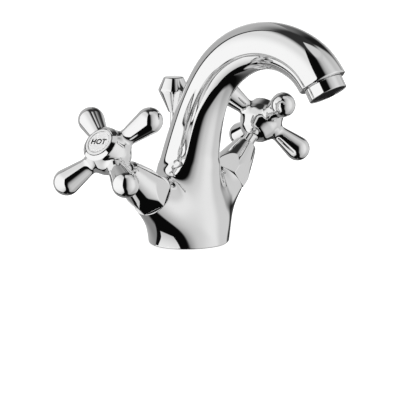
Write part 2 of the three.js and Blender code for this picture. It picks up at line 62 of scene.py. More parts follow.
class Spline:
    """Natural cubic spline through equally spaced knots, straight beyond its ends."""

    def __init__(self, points):
        p = np.asarray(points, float)
        n = len(p)
        a = np.zeros((n, n))
        b = np.zeros_like(p)
        a[0, 0] = a[-1, -1] = 1
        for i in range(1, n - 1):
            a[i, i - 1], a[i, i], a[i, i + 1] = 1, 4, 1
            b[i] = 6 * (p[i - 1] - 2 * p[i] + p[i + 1])
        self.p, self.m, self.last = p, np.linalg.solve(a, b), n - 1

    def __call__(self, t, order=0):
        t = np.asarray(t, float)
        tc = np.clip(t, 0, self.last)
        i = np.minimum(tc.astype(int), self.last - 1)
        u = (tc - i)[..., None]
        p0, p1, m0, m1 = self.p[i], self.p[i + 1], self.m[i], self.m[i + 1]
        d1 = p1 - p0 - (2 * m0 + m1) / 6 + m0 * u + (m1 - m0) * u * u / 2
        out = (t - tc)[..., None]
        if order == 0:
            c = p0 + (p1 - p0 - (2 * m0 + m1) / 6) * u + m0 * u * u / 2 + (m1 - m0) * u**3 / 6
            return c + d1 * out
        if order == 1:
            return d1
        return np.where(out == 0, m0 + (m1 - m0) * u, 0.0)


LINE = Spline(SPOUT[:, :2])
RADIUS = Spline(SPOUT[:, 2:])
_T = np.linspace(-2.0, 15.2, 173)
_C = LINE(_T)
_GY, _GZ = np.arange(-136.0, 46.0, 1.0), np.arange(-24.0, 162.0, 1.0)
_NEAREST = np.array([_T[np.argmin((y - _C[None, :, 0]) ** 2 + (_GZ[:, None] - _C[None, :, 1]) ** 2, axis=1)] for y in _GY])


def smin(a, b, k):
    h = np.maximum(k - np.abs(a - b), 0) / k
    return np.minimum(a, b) - h * h * h * (k / 6)


def smax(a, b, k):
    return -smin(-a, -b, k)


def ramp(v, a, b):
    t = np.clip((v - a) / (b - a), 0, 1)
    return t * t * t * (t * (6 * t - 15) + 10)


def spout_field(p):
    q = p[:, 1:3]
    t = _NEAREST[np.clip(np.rint(q[:, 0] - _GY[0]).astype(int), 0, len(_GY) - 1), np.clip(np.rint(q[:, 1] - _GZ[0]).astype(int), 0, len(_GZ) - 1)]
    for _ in range(4):
        d = q - LINE(t)
        c1, c2 = LINE(t, 1), LINE(t, 2)
        f = (d * c1).sum(1)
        df = -(c1 * c1).sum(1) + (d * c2).sum(1)
        df = np.minimum(df, -0.25 * (c1 * c1).sum(1))
        t = np.clip(t - np.clip(f / df, -0.3, 0.3), -2.0, 15.2)
    d = q - LINE(t)
    return np.sqrt(p[:, 0] ** 2 + (d * d).sum(1)) - RADIUS(t)[:, 0]


def boss_field(p, side):
    px, pz = p[:, 0] * side, p[:, 2] - AXIS_Z0
    s = px * CA + pz * SA
    v = -px * SA + pz * CA
    d = np.sqrt(p[:, 1] ** 2 + v * v) - (BOSS_R + 0.05 * smax(BOSS_FACE - s, 0 * s, 4.0))
    return np.maximum(smax(d, 6 - s, 6.0), s - BOSS_FACE - 9)


def trunk_field(p):
    r = BASE_R - 6.0 * ramp(p[:, 2], 12, 52)
    return smax(np.sqrt(p[:, 0] ** 2 + p[:, 1] ** 2) - r, p[:, 2] - 50, 6.0)


def casting_field(p):
    out = np.empty(len(p))
    for i in range(0, len(p), 60000):
        q = p[i:i + 60000]
        f = smin(boss_field(q, -1), boss_field(q, 1), BLEND_BOSSES)
        f = smin(f, trunk_field(q), BLEND_BOSS)
        blend = BLEND_SPOUT - 6.0 * ramp(q[:, 1], -6, 8)      # a tighter corner on the knob's side
        out[i:i + 60000] = np.maximum(smin(f, spout_field(q), blend), -9 - q[:, 2])
    return out


def gradient(field, p, h=0.02):
    g = np.empty_like(p)
    for k in range(3):
        e = np.zeros(3)
        e[k] = h
        g[:, k] = (field(p + e) - field(p - e)) / (2 * h)
    return g


def fillet(points, radii, step=0.28):
    """[r, z] corners and a radius at each inner corner -> points and outward normals of the rounded profile.
    The outside is on the right-hand side of the direction of travel seen with r to the right and z up, so a profile runs from low z to high z."""
    pts = [np.array(p, float) for p in points]
    out = []

    def normal(a, b):
        d = (b - a) / np.linalg.norm(b - a)
        return np.array([d[1], -d[0]])

    out.append((pts[0], normal(pts[0], pts[1])))
    for i in range(1, len(pts) - 1):
        a, b, c = pts[i - 1], pts[i], pts[i + 1]
        u, w = (a - b) / np.linalg.norm(a - b), (c - b) / np.linalg.norm(c - b)
        ang = math.acos(max(-1, min(1, float(u @ w))))
        r = radii[i]
        if ang > math.pi - 1e-3:
            out.append((b, normal(a, b)))
            continue
        back = r / math.tan(ang / 2)
        back = min(back, 0.49 * np.linalg.norm(a - b), 0.49 * np.linalg.norm(c - b))
        r = back * math.tan(ang / 2)
        centre = b + (u + w) / np.linalg.norm(u + w) * (r / math.sin(ang / 2))
        p0, p1 = b + u * back, b + w * back
        n0, n1 = normal(a, b), normal(b, c)
        sign = 1.0 if (p0 - centre) @ n0 > 0 else -1.0
        turn = math.pi - ang
        k = max(2, int(math.ceil(turn * max(r, 0.3) / step)), int(math.ceil(turn / 0.22)))
        for j in range(k + 1):
            f = j / k
            n = n0 * math.sin((1 - f) * turn) + n1 * math.sin(f * turn)
            n = n / np.linalg.norm(n)
            out.append((centre + sign * r * n, n))
    out.append((pts[-1], normal(pts[-2], pts[-1])))
    return np.array([o[0] for o in out]), np.array([o[1] for o in out])


HUB = fillet(
    [(0, 78.2), (4.3, 78.2), (4.3, 87.0), (9.4, 89.6), (13.0, 95.4), (14.4, 100.0), (13.9, 103.9), (11.85, 111.05), (8.0, 113.7), (0, 113.7)],
    [0, 0.4, 1.8, 4.5, 8.0, 10.0, 12.0, 0.5, 0.1, 0], 0.25)


def polyline_distance(q, line):
    a, b = line[:-1], line[1:]
    best = np.full(len(q), 1e9)
    sign = np.ones(len(q))
    d = b - a
    l2 = (d * d).sum(1)
    for i in range(0, len(q), 20000):
        w = q[i:i + 20000, None, :] - a[None]
        t = np.clip((w * d).sum(2) / l2, 0, 1)
        e = w - t[..., None] * d
        best[i:i + 20000] = np.sqrt((e * e).sum(2).min(1))
        y = q[i:i + 20000, 1][:, None]
        cross = (a[None, :, 1] <= y) != (b[None, :, 1] <= y)
        x = a[None, :, 0] + (y - a[None, :, 1]) / np.where(np.abs(d[None, :, 1]) < 1e-12, 1e-12, d[None, :, 1]) * d[None, :, 0]
        inside = (cross & (x > q[i:i + 20000, 0][:, None])).sum(1) % 2 == 1
        sign[i:i + 20000] = np.where(inside, -1, 1)
    return best * sign


_HR, _HS = np.arange(0.0, 62.0, 0.2), np.arange(66.0, 126.0, 0.2)
_HUB = polyline_distance(np.stack(np.meshgrid(_HR, _HS, indexing="ij"), -1).reshape(-1, 2), HUB[0]).reshape(len(_HR), len(_HS))


def hub_distance(q, exact):
    if exact:
        return polyline_distance(q, HUB[0])
    a, b = np.clip((q[:, 0] - _HR[0]) / 0.2, 0, len(_HR) - 1.001), np.clip((q[:, 1] - _HS[0]) / 0.2, 0, len(_HS) - 1.001)
    i, j = a.astype(int), b.astype(int)
    a, b = a - i, b - j
    return (_HUB[i, j] * (1 - a) + _HUB[i + 1, j] * a) * (1 - b) + (_HUB[i, j + 1] * (1 - a) + _HUB[i + 1, j + 1] * a) * b


def handle_field(p, phase=0.0, exact=False):
    """In the axis frame: the hub of revolution blended with four arms that swell to a ball."""
    hub = hub_distance(np.stack([np.sqrt(p[:, 0] ** 2 + p[:, 1] ** 2), p[:, 2]], 1), exact)
    f = hub
    a0, r1, r2 = 6.0, ARM_ROOT_R - 0.75, ARM_BALL_R
    length = ARM_REACH - a0
    b = (r2 - r1) / length
    a = math.sqrt(1 - b * b)
    arms = None
    for i in range(4):
        c, s = math.cos(phase + i * math.pi / 2), math.sin(phase + i * math.pi / 2)
        x = p[:, 0] * c + p[:, 1] * s - a0
        y = np.sqrt((-p[:, 0] * s + p[:, 1] * c) ** 2 + (p[:, 2] - ARM_S) ** 2)
        k = y * b + x * a     # position along the flank of the cone
        along = x * a + y * b
        cone = y * a - x * b - r1
        end = np.sqrt((x - length) ** 2 + y * y) - r2
        start = np.sqrt(x * x + y * y) - r1
        d = np.where(along < 0, start, np.where(along > length * a, end, cone))
        arms = d if arms is None else np.minimum(arms, d)
    return smin(f, arms, 4.2)


def surface(field, lo, hi, cell, rounds=8, last=None):
    """Closed quad mesh of field = 0: one vertex per crossed cell, evened out and set exactly on the surface, with exact normals."""
    lo, hi = np.array(lo, float), np.array(hi, float)
    m = 4
    n = np.ceil((hi - lo) / (cell * m)).astype(int) * m
    nc = n // m
    cc = lo + (np.indices(nc).reshape(3, -1).T + 0.5) * cell * m
    fc = field(cc).reshape(nc)
    near = np.abs(fc) < cell * m * 0.9 + 1.5 * cell
    act = np.zeros(n + 1, bool)
    big = np.repeat(np.repeat(np.repeat(near, m, 0), m, 1), m, 2)
    for a in (0, 1):
        for b in (0, 1):
            for c in (0, 1):
                act[a:a + n[0], b:b + n[1], c:c + n[2]] |= big
    val = np.ones(n + 1)
    bs = np.repeat(np.repeat(np.repeat(fc, m, 0), m, 1), m, 2)
    val[:-1, :-1, :-1] = np.where(bs < 0, -1.0, 1.0)
    ii = np.argwhere(act)
    val[act] = field(lo + ii * cell)
    ins = val < 0
    corners = [(0, 0, 0), (1, 0, 0), (0, 1, 0), (1, 1, 0), (0, 0, 1), (1, 0, 1), (0, 1, 1), (1, 1, 1)]
    edges = [(0, 1), (2, 3), (4, 5), (6, 7), (0, 2), (1, 3), (4, 6), (5, 7), (0, 4), (1, 5), (2, 6), (3, 7)]
    cnt = sum(ins[a:a + n[0], b:b + n[1], c:c + n[2]].astype(np.int8) for a, b, c in corners)
    cells = np.argwhere((cnt > 0) & (cnt < 8))
    v = np.stack([val[cells[:, 0] + a, cells[:, 1] + b, cells[:, 2] + c] for a, b, c in corners], 1)
    cs = np.array(corners, float)
    tot = np.zeros((len(cells), 3))
    num = np.zeros(len(cells))
    for a, b in edges:
        hit = (v[:, a] < 0) != (v[:, b] < 0)
        t = np.where(hit, v[:, a] / np.where(hit, v[:, a] - v[:, b], 1), 0)
        tot += np.where(hit[:, None], cs[a] + t[:, None] * (cs[b] - cs[a]), 0)
        num += hit
    verts = lo + (cells + tot / num[:, None]) * cell
    idx = np.full(n, -1, np.int64)
    idx[tuple(cells.T)] = np.arange(len(cells))
    quads = []
    for ax in range(3):
        b, c = (ax + 1) % 3, (ax + 2) % 3
        sl0, sl1 = [slice(None)] * 3, [slice(None)] * 3
        sl0[ax], sl1[ax] = slice(0, -1), slice(1, None)
        diff = np.argwhere(ins[tuple(sl0)] != ins[tuple(sl1)])
        diff = diff[(diff[:, b] > 0) & (diff[:, c] > 0) & (diff[:, b] < n[b]) & (diff[:, c] < n[c])]
        flip = ~ins[tuple(diff.T)]

        def at(db, dc):
            q = diff.copy()
            q[:, b] += db
            q[:, c] += dc
            return idx[tuple(q.T)]
        quad = np.stack([at(-1, -1), at(0, -1), at(0, 0), at(-1, 0)], 1)
        quad[flip] = quad[flip][:, ::-1]
        quads.append(quad)
    quads = np.vstack(quads)
    e = np.vstack([quads[:, [0, 1]], quads[:, [1, 2]], quads[:, [2, 3]], quads[:, [3, 0]]])
    e = np.unique(np.sort(e, 1), axis=0)
    deg = np.bincount(e.ravel(), minlength=len(verts)).astype(float)[:, None]

    def mean(x):
        s = np.zeros_like(x)
        for k in range(x.shape[1]):
            s[:, k] = np.bincount(e[:, 0], x[e[:, 1], k], len(x)) + np.bincount(e[:, 1], x[e[:, 0], k], len(x))
        return s / deg
    for r in range(rounds):
        verts = verts + 0.5 * (mean(verts) - verts)
        if r == rounds - 1:
            field = last or field
        for _ in range(2 if r == rounds - 1 else 1):
            g = gradient(field, verts, 0.05)
            verts = verts - g * (field(verts) / np.maximum(1e-6, (g * g).sum(1)))[:, None]
    g = gradient(field, verts, 0.05)
    g /= np.linalg.norm(g, axis=1)[:, None]
    g = 0.5 * g + 0.5 * mean(g)
    g /= np.linalg.norm(g, axis=1)[:, None]
    return verts, quads, g


# ---------------------------------------------------------------- frames, in millimetres
def axis_frame(side):
    n = np.array([(-1 if side == "hot" else 1) * CA, 0.0, SA])
    x = np.array([0.0, 1.0, 0.0])
    return np.stack([x, np.cross(n, x), n], 1), np.array([0.0, 0.0, AXIS_Z0])


def straight_frame(x=0.0, y=0.0, z=0.0):
    return np.eye(3), np.array([x, y, z])


MOUTH = (np.stack([np.array([1.0, 0, 0]), np.cross(MOUTH_DIR, [1.0, 0, 0]), MOUTH_DIR], 1), MOUTH_AT)


def put(points, place):
    return np.asarray(points, float) @ place[0].T + place[1]


# ---------------------------------------------------------------- meshes
def new_object(name, verts, faces, loop_normals=None, smooth=True):
    """Vertices in millimetres. loop_normals has one normal per face corner, zero where the plain one is right."""
    me = bpy.data.meshes.new(name)
    me.from_pydata((np.asarray(verts) * MM).tolist(), [], [list(map(int, f)) for f in faces])
    if smooth:
        me.polygons.foreach_set("use_smooth", np.ones(len(me.polygons), bool))
    ob = bpy.data.objects.new(name, me)
    bpy.context.scene.collection.objects.link(ob)
    if loop_normals is not None:
        me.normals_split_custom_set([tuple(map(float, n)) for n in loop_normals])
    return ob


def turned(profile, normals, segments, place, closed=False, start=0.0):
    """A profile of [r, s] points with normals, turned round the axis of a frame: vertices, faces and corner normals."""
    n = len(profile)
    ring_of, rings = [], []
    for i in range(n):
        if i and np.allclose(profile[i], profile[i - 1], atol=1e-6):
            ring_of.append(ring_of[-1])
            continue
        rings.append(profile[i])
        ring_of.append(len(rings) - 1)
    if closed and len(rings) > 1 and np.allclose(rings[0], rings[-1], atol=1e-6):
        last = len(rings) - 1
        ring_of = [0 if r == last else r for r in ring_of]
        rings = rings[:-1]
    ang = start + np.arange(segments) * 2 * math.pi / segments
    verts, first, pole = [], [], []
    for r, s in rings:
        first.append(len(verts))
        if r < 1e-6:
            pole.append(True)
            verts.append((0, 0, s))
        else:
            pole.append(False)
            verts.extend((r * math.cos(a), r * math.sin(a), s) for a in ang)
    faces, nor = [], []

    def corner(i, k):
        a = ang[k % segments]
        return (normals[i][0] * math.cos(a), normals[i][0] * math.sin(a), normals[i][1])

    for i in range(n - 1):
        a, b = ring_of[i], ring_of[i + 1]
        if a == b or (pole[a] and pole[b]):
            continue
        for k in range(segments):
            k1 = (k + 1) % segments
            if pole[a]:
                faces.append((first[a], first[b] + k1, first[b] + k))
                nor += [corner(i, k + 0.5 if False else k), corner(i + 1, k1), corner(i + 1, k)]
            elif pole[b]:
                faces.append((first[a] + k, first[a] + k1, first[b]))
                nor += [corner(i, k), corner(i, k1), corner(i + 1, k)]
            else:
                faces.append((first[a] + k, first[a] + k1, first[b] + k1, first[b] + k))
                nor += [corner(i, k), corner(i, k1), corner(i + 1, k1), corner(i + 1, k)]
    return put(verts, place), faces, np.asarray(nor) @ place[0].T


def turned_object(name, points, radii, segments, place, closed=False, step=0.2, start=0.0):
    if closed:
        # the corner at the start is rounded as well: start in the middle of the first side
        p, r = [list(map(float, q)) for q in points], list(radii)
        mid = [(p[0][0] + p[1][0]) / 2, (p[0][1] + p[1][1]) / 2]
        pts = [mid] + p[1:] + [p[0], mid]
        rr = [0] + r[1:] + [r[0], 0]
    else:
        pts, rr = points, radii
    prof, nor = fillet(pts, rr, step)
    return new_object(name, *turned(prof, nor, segments, place, closed, start))


def boolean(ob, cutters, solver="MANIFOLD"):
    for c in cutters:
        m = ob.modifiers.new("cut", "BOOLEAN")
        m.operation, m.solver, m.object = "DIFFERENCE", solver, c
    bpy.context.view_layer.update()
    dg = bpy.context.evaluated_depsgraph_get()
    me = bpy.data.meshes.new_from_object(ob.evaluated_get(dg))
    old = ob.data
    ob.modifiers.clear()
    bm = bmesh.new()
    bm.from_mesh(me)
    bmesh.ops.remove_doubles(bm, verts=bm.verts, dist=4e-6)
    bmesh.ops.dissolve_degenerate(bm, dist=4e-6, edges=bm.edges)
    bmesh.ops.triangulate(bm, faces=[f for f in bm.faces if len(f.verts) > 4], ngon_method="BEAUTY")
    bm.to_mesh(me)
    bm.free()
    ob.data = me
    me.name = ob.name
    bpy.data.meshes.remove(old)
    for c in cutters:
        data = c.data
        bpy.data.objects.remove(c)
        bpy.data.meshes.remove(data)
    return ob


def bar(name, a, b, r, segments=32):
    """A plain cylinder used only to cut."""
    a, b = np.array(a, float), np.array(b, float)
    n = b - a
    length = np.linalg.norm(n)
    n /= length
    x = np.cross(n, [0.0, 1.0, 0.0]) if abs(n[1]) < 0.9 else np.cross(n, [1.0, 0.0, 0.0])
    x /= np.linalg.norm(x)
    place = (np.stack([x, np.cross(n, x), n], 1), a)
    v, f, _ = turned(np.array([[0, 0], [r, 0], [r, length], [0, length]]), np.zeros((4, 2)), segments, place)
    return new_object(name, v, f, None, False)


def cutter(name, profile, place, segments=48, closed=False):
    v, f, _ = turned(np.array(profile, float), np.zeros((len(profile), 2)), segments, place, closed)
    return new_object(name, v, f, None, False)


def mesh_arrays(me):
    v = np.empty(len(me.vertices) * 3)
    me.vertices.foreach_get("co", v)
    li = np.empty(len(me.loops), np.int64)
    me.loops.foreach_get("vertex_index", li)
    start = np.empty(len(me.polygons), np.int64)
    me.polygons.foreach_get("loop_start", start)
    total = np.empty(len(me.polygons), np.int64)
    me.polygons.foreach_get("loop_total", total)
    fn = np.empty(len(me.polygons) * 3)
    me.polygons.foreach_get("normal", fn)
    return v.reshape(-1, 3) / MM, li, np.repeat(np.arange(len(total)), total), fn.reshape(-1, 3)


def set_skin_normals(ob, skin, angle=35.0, agree=0.55):
    """skin(points in mm) -> (is it on the outer skin, its exact normal). Other corners keep the plain smooth normal, split by angle."""
    me = ob.data
    me.polygons.foreach_set("use_smooth", np.ones(len(me.polygons), bool))
    me.set_sharp_from_angle(angle=math.radians(angle))
    v, li, lf, fn = mesh_arrays(me)
    on, n = skin(v)
    ok = on[li] & ((n[li] * fn[lf]).sum(1) > agree)
    out = np.where(ok[:, None], n[li], 0.0)
    me.normals_split_custom_set([tuple(map(float, q)) for q in out])


def trim(bm, inside, plane_at, plane_no, lip, steps=5, cap=True):
    """Cuts the skin at a plane, with a quarter-round edge of radius lip, and closes it with one flat face.
    inside(point) says which vertices the cut may touch."""
    at, no = Vector(plane_at), Vector(plane_no)
    verts = [v for v in bm.verts if inside(v.co)]
    chosen = set(verts)
    edges = [e for e in bm.edges if e.verts[0] in chosen and e.verts[1] in chosen]
    faces = [f for f in bm.faces if all(v in chosen for v in f.verts)]
    base = at - no * lip
    bmesh.ops.bisect_plane(bm, geom=verts + edges + faces, dist=1e-4, plane_co=base, plane_no=no, clear_outer=True)
    border = [e for e in bm.edges if len(e.link_faces) == 1 and all(abs((v.co - base).dot(no)) < 1e-2 for v in e.verts)]
    nxt = {}
    for e in border:
        f = e.link_faces[0]
        for lp in f.loops:
            if lp.edge == e:
                nxt[lp.link_loop_next.vert] = lp.vert    # walks the border against its face
    first = next(iter(nxt))
    loop, v = [first], nxt[first]
    while v != first:
        loop.append(v)
        v = nxt[v]
    pts = np.array([v.co[:] for v in loop])
    n = gradient(casting_field, pts, 0.02)
    nn = np.array(no[:])
    n -= np.outer(n @ nn, nn)
    n /= np.linalg.norm(n, axis=1)[:, None]
    prev = loop
    for k in range(1, steps + 1):
        th = math.pi / 2 * k / steps
        ring = [bm.verts.new(p) for p in pts + nn * (lip * math.sin(th)) - n * (lip * (1 - math.cos(th)))]
        for i in range(len(loop)):
            j = (i + 1) % len(loop)
            bm.faces.new((prev[i], prev[j], ring[j], ring[i]))
        prev = ring
    if cap:
        bm.faces.new(prev)


# ---------------------------------------------------------------- the casting
BASE_LIP, MOUTH_LIP, BOSS_LIP = 0.9, 1.1, 0.5


def casting():
    v, quads, _ = surface(casting_field, [-56, -128, -14], [56, 36, 152], 1.3)
    me = bpy.data.meshes.new("mixer_casting")
    me.from_pydata(v.tolist(), [], quads.tolist())
    bm = bmesh.new()
    bm.from_mesh(me)
    trim(bm, lambda c: c.z < 12, (0, 0, 0), (0, 0, -1), BASE_LIP)
    for side in ("hot", "cold"):
        place = axis_frame(side)
        o, n = Vector(place[1]), Vector(place[0][:, 2])

        def near(c, o=o, n=n):
            s = (c - o).dot(n)
            return s > 42 and ((c - o) - n * s).length < 20

        trim(bm, near, o + n * BOSS_FACE, n, BOSS_LIP, 4)
    trim(bm, lambda c: c.y < -75, MOUTH_AT, MOUTH_DIR, MOUTH_LIP, 6)
    bmesh.ops.scale(bm, vec=(MM, MM, MM), verts=bm.verts)
    bm.to_mesh(me)
    bm.free()
    ob = bpy.data.objects.new("mixer_casting", me)
    bpy.context.scene.collection.objects.link(ob)

    base = straight_frame()
    cuts = [
        cutter("c", [[0, -1], [18.5, -1], [18.5, 9.0], [0, 9.0]], base, 96),
        cutter("c", [[21.2, -1], [23.8, -1], [23.8, 2.5], [21.2, 2.5], [21.2, -1]], base, 96, True),
        bar("c", (0, -12, 8), (0, -12, 22), 3.4, 32),
        bar("c", (0, ROD_Y, 8), (0, ROD_Y, 31.5), 5.0, 32),
        bar("c", (0, ROD_Y, 31), (0, ROD_Y, 56), 3.8, 32),
        bar("c", (0, ROD_Y, 55), (0, ROD_Y, 92), 2.9, 48),
        cutter("c", [[0, -12], [11.35, -12], [11.35, 1], [0, 1]], MOUTH, 72),
    ]
    for side, sx in (("hot", -1), ("cold", 1)):
        place = axis_frame(side)
        cuts.append(cutter("c", [[0, 24], [8.5, 24], [8.5, 50], [0, 50]], place, 48))
        cuts.append(bar("c", (sx * 8.2, -3, 8), (sx * 8.2, -3, 16), 4.5, 32))
        cuts.append(bar("c", (sx * 9.2, -1.5, 13.5), put([[0, 0, 25.0]], place)[0], 3.0, 20))
        cuts.append(bar("c", put([[0, 0, 32.5]], place)[0], (0, -1.5, 38), 3.0, 20))
    t = np.linspace(2.2, 14.0, 40)
    way = np.column_stack([np.zeros(40), LINE(t)])
    way = np.vstack([[[0, -2.0, 29]], [[0, -1.2, 42]], [[0, -2.4, 55]], way])
    seg = 24
    d = np.gradient(way, axis=0)
    d /= np.linalg.norm(d, axis=1)[:, None]
    up = np.cross(d, [1.0, 0, 0])
    ang = np.arange(seg) * 2 * math.pi / seg
    tube = np.vstack([way[i] + 6.5 * (np.outer(np.cos(ang), [1.0, 0, 0]) + np.outer(np.sin(ang), up[i])) for i in range(len(way))])
    faces = [(i * seg + k, i * seg + (k + 1) % seg, (i + 1) * seg + (k + 1) % seg, (i + 1) * seg + k) for i in range(len(way) - 1) for k in range(seg)]
    faces.append(tuple(range(seg))[::-1])
    faces.append(tuple((len(way) - 1) * seg + k for k in range(seg)))
    tube_ob = new_object("c", tube, faces, None, False)
    bm = bmesh.new()
    bm.from_mesh(tube_ob.data)
    bmesh.ops.recalc_face_normals(bm, faces=bm.faces)
    bm.to_mesh(tube_ob.data)
    bm.free()
    cuts.append(tube_ob)
    boolean(ob, cuts)

    def skin(p):
        f = casting_field(p)
        g = gradient(casting_field, p, 0.03)
        g /= np.linalg.norm(g, axis=1)[:, None]
        on = np.abs(f) < 0.06
        edges = [(p @ np.array([0, 0, -1.0]), np.array([0, 0, -1.0]), BASE_LIP, p[:, 2] < 5)]
        q = (p - MOUTH_AT) @ MOUTH_DIR
        edges.append((q, MOUTH_DIR, MOUTH_LIP, p[:, 1] < -75))
        for side in ("hot", "cold"):
            place = axis_frame(side)
            s = (p - place[1]) @ place[0][:, 2]
            r = np.linalg.norm((p - place[1]) - np.outer(s, place[0][:, 2]), axis=1)
            edges.append((s - BOSS_FACE, place[0][:, 2], BOSS_LIP, (s > 40) & (r < 20)))
        for h, no, lip, where in edges:
            m = where & (h > -lip - 1e-3) & (f > -lip - 0.08)
            t = np.clip(1 + h / lip, 0, 1)
            flat = g - np.outer(g @ no, no)
            flat /= np.linalg.norm(flat, axis=1)[:, None]
            turned_n = flat * np.sqrt(1 - t * t)[:, None] + np.outer(t, no)
            g = np.where(m[:, None], turned_n, g)
            on |= m
        return on, g

    set_skin_normals(ob, skin)
    return ob


# ---------------------------------------------------------------- handles, one shape turned to two places
def handle_mesh():
    v, quads, n = surface(handle_field, [-42, -42, 76], [42, 42, 114], 0.8, last=lambda p: handle_field(p, 0.0, True))
    return v, quads


def handle(side, shape):
    v, quads = shape
    c, s = math.cos(ARM_PHASE[side]), math.sin(ARM_PHASE[side])
    turn = np.array([[c, -s, 0], [s, c, 0], [0, 0, 1.0]])
    place = axis_frame(side)
    whole = (place[0] @ turn, place[1])
    ob = new_object(side + "_cross_handle", put(v, whole), quads)
    bore = cutter("c", [[0, 77], [3.1, 77], [3.1, 100.2], [2.0, 100.2], [2.0, 103.2], [6.8, 103.2], [6.8, 109.8], [9.5, 109.8], [9.5, 114], [0, 114]], whole, 96)
    boolean(ob, [bore])

    def skin(p):
        q = (p - whole[1]) @ whole[0]
        f = handle_field(q, 0.0, True)
        g = gradient(lambda w: handle_field(w, 0.0, False), q, 0.35)
        g /= np.linalg.norm(g, axis=1)[:, None]
        return np.abs(f) < 0.05, g @ whole[0].T

    set_skin_normals(ob, skin, agree=0.3)
    return ob


# ---------------------------------------------------------------- bonnet: a hexagon foot running into a cone
BONNET_OUT = fillet([(15.8, 48.0), (15.8, 48.75), (13.9, 55.9), (12.6, 60.5), (9.85, 71.2), (8.0, 77.4), (7.3, 79.0), (5.6, 80.0), (5.0, 80.0)],
                    [0, 0, 14, 20, 30, 12, 1.4, 0.5, 0], 0.3)[0]
FOOT = 49.15          # underside of the hexagon foot
BONNET_IN = [(10.6, FOOT), (10.6, 59.0), (8.1, 70.5), (6.4, 76.4), (4.8, 76.4), (4.8, 80.0)]


def bonnet(side):
    place = axis_frame(side)
    prof = BONNET_OUT
    seg = 240
    apothem = HEX_R * math.cos(math.pi / 6)
    corner = 0.45       # radius of the hexagon's corners
    phi = HEX_PHASE[side] + np.arange(seg) * 2 * math.pi / seg
    local = ((np.arange(seg) * 2 * math.pi / seg + math.pi / 6) % (math.pi / 3)) - math.pi / 6     # 0 at a corner
    # rounded hexagon: flats at the apothem, an arc of radius `corner` at each corner
    flat = apothem / np.cos(math.pi / 6 - np.abs(local))
    cx = HEX_R - corner / math.cos(math.pi / 6)
    with np.errstate(invalid="ignore"):
        arc = cx * np.cos(local) + np.sqrt(np.maximum(corner * corner - (cx * np.sin(local)) ** 2, 0))
    # the arc touches the flats where the angle seen from the arc's centre is 30 degrees
    touch = math.atan2(corner * 0.5, cx + corner * math.cos(math.pi / 6))
    hexr = np.where(np.abs(local) < touch, arc, flat)

    top = 80.0
    s_fine = np.concatenate([[FOOT, FOOT + 0.03, FOOT + 0.1, FOOT + 0.2, FOOT + 0.35], np.arange(49.75, 52.0, 0.5), np.arange(52.0, 64.0, 0.22), np.arange(64.0, 78.0, 0.5)])
    # the outline r(s) of the turned profile, up to its top edge
    i_top = int(np.argmax(prof[:, 1] > 77.9))

    def turned_r(s):
        return np.interp(s, prof[:, 1], prof[:, 0])

    def radius(s, h):
        a, b = turned_r(s), h
        k = 0.5
        t = max(k - abs(a - b), 0) / k
        return min(a, b) - t * t * t * (k / 6)

    rings = []
    bottom = 0.35
    for s in s_fine:
        row = np.array([radius(s, h) for h in hexr])
        if s < FOOT + bottom:      # small round on the lower edge
            u = 1 - (s - FOOT) / bottom
            row = row - bottom * (1 - math.sqrt(max(0.0, 1 - u * u)))
        rings.append((row, np.full(seg, s)))
    for r, s in prof[i_top:]:
        if s >= top - 1e-6 and r < 5.05:
            break
        rings.append((np.full(seg, r), np.full(seg, s)))
    n_out = len(rings)
    inner, inner_n = fillet([(5.0, top)] + [tuple(p) for p in BONNET_IN[::-1]] + [(11.0, FOOT)], [0, 0.2, 0, 0, 0, 0, 0, 0], 0.4)
    verts = []
    for r, s in rings:
        verts.extend(zip(r * np.cos(phi), r * np.sin(phi), s))
    verts = np.array(verts)
    grid = verts.reshape(n_out, seg, 3)
    # exact enough normals: central differences on the fine grid
    du = np.gradient(grid, axis=0)
    dphi = np.roll(grid, -1, 1) - np.roll(grid, 1, 1)
    nor = np.cross(dphi, du)
    nor /= np.linalg.norm(nor, axis=2)[..., None]
    faces, loops = [], []
    for i in range(n_out - 1):
        for k in range(seg):
            k1 = (k + 1) % seg
            faces.append((i * seg + k, i * seg + k1, (i + 1) * seg + k1, (i + 1) * seg + k))
            loops += [nor[i, k], nor[i, k1], nor[i + 1, k1], nor[i + 1, k]]
    allv = [verts]
    count = len(verts)
    # inside and underside
    prev = [(n_out - 1) * seg + k for k in range(seg)]
    done = None
    for j in range(len(inner)):
        r, s = inner[j]
        if done is not None and abs(r - done[0]) < 1e-6 and abs(s - done[1]) < 1e-6:
            continue
        done = (r, s)
        if r > 10.7:
            break
        allv.append(np.column_stack([r * np.cos(phi), r * np.sin(phi), np.full(seg, s)]))
        cur = [count + k for k in range(seg)]
        count += seg
        for k in range(seg):
            k1 = (k + 1) % seg
            faces.append((prev[k], prev[k1], cur[k1], cur[k]))
            loops += [(0, 0, 0)] * 4
        prev = cur
    for k in range(seg):
        k1 = (k + 1) % seg
        faces.append((prev[k], prev[k1], k1, k))
        loops += [(0, 0, 0)] * 4
    ob = new_object(side + "_valve_bonnet", put(np.vstack(allv), place), faces)
    ob.data.set_sharp_from_angle(angle=math.radians(30))
    loops = np.asarray(loops, float) @ place[0].T
    ob.data.normals_split_custom_set([tuple(map(float, q)) for q in loops])
    return ob


